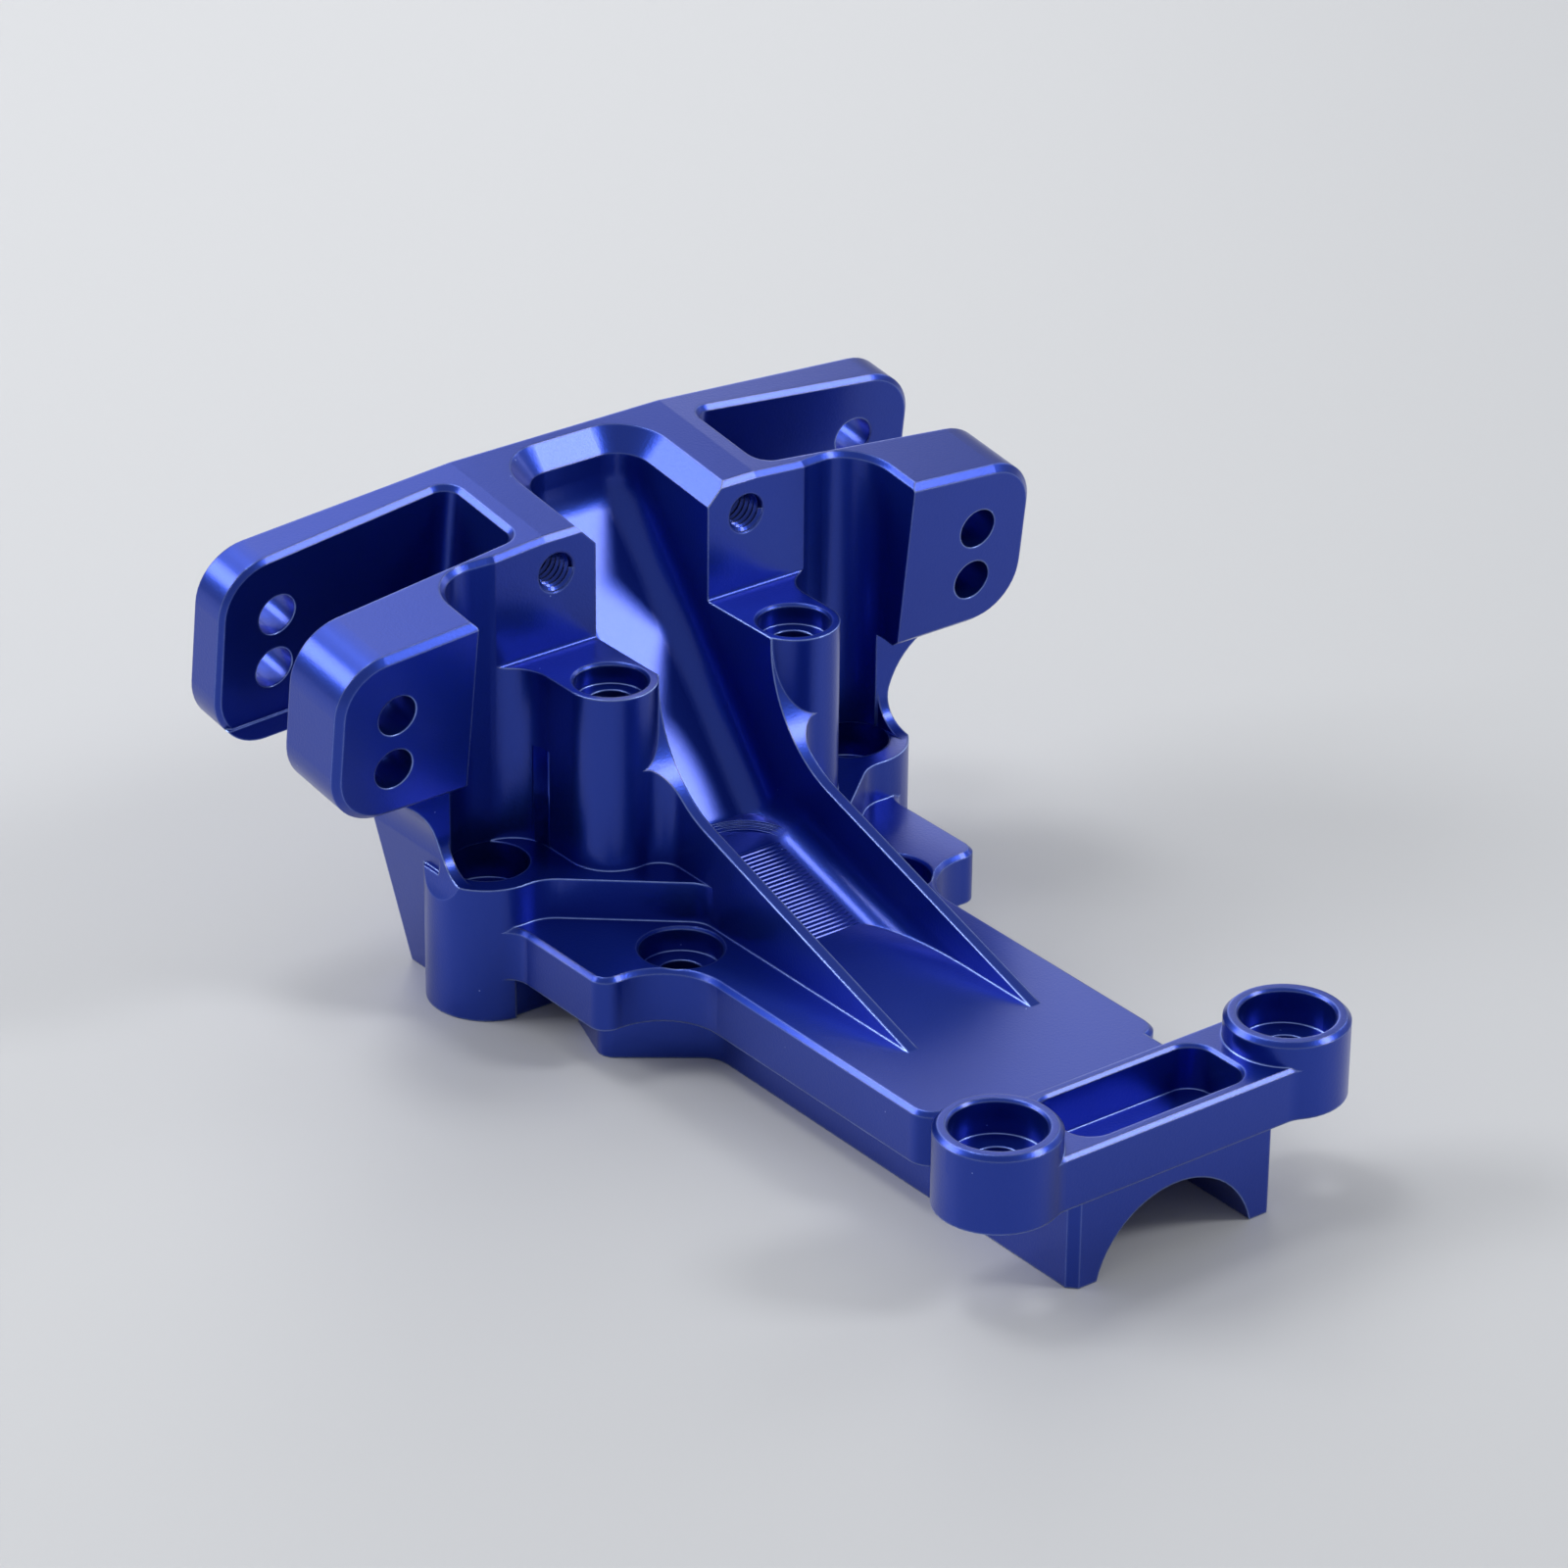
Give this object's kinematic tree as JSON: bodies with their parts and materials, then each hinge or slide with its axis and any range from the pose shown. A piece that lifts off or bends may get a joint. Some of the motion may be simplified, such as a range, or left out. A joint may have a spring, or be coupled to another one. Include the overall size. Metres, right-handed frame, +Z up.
{
  "type": "gearbox cover",
  "caption": "Blue anodised gearbox cover with a long nose, screw bosses, two ribs beside a chute and two pinned clevis wings.",
  "frame": {"origin": "on the joint face, on the centre plane, midway between the two front screws", "axes": "+X across the cover, +Y back along the cover from the nose, +Z up from the joint face"},
  "size_m": [0.0838, 0.101, 0.0473],
  "materials": {
    "blue_anodised": "satin blue anodised"
  },
  "bodies": {
    "root": {"gearbox_cover": "blue_anodised"}
  },
  "joints": []
}
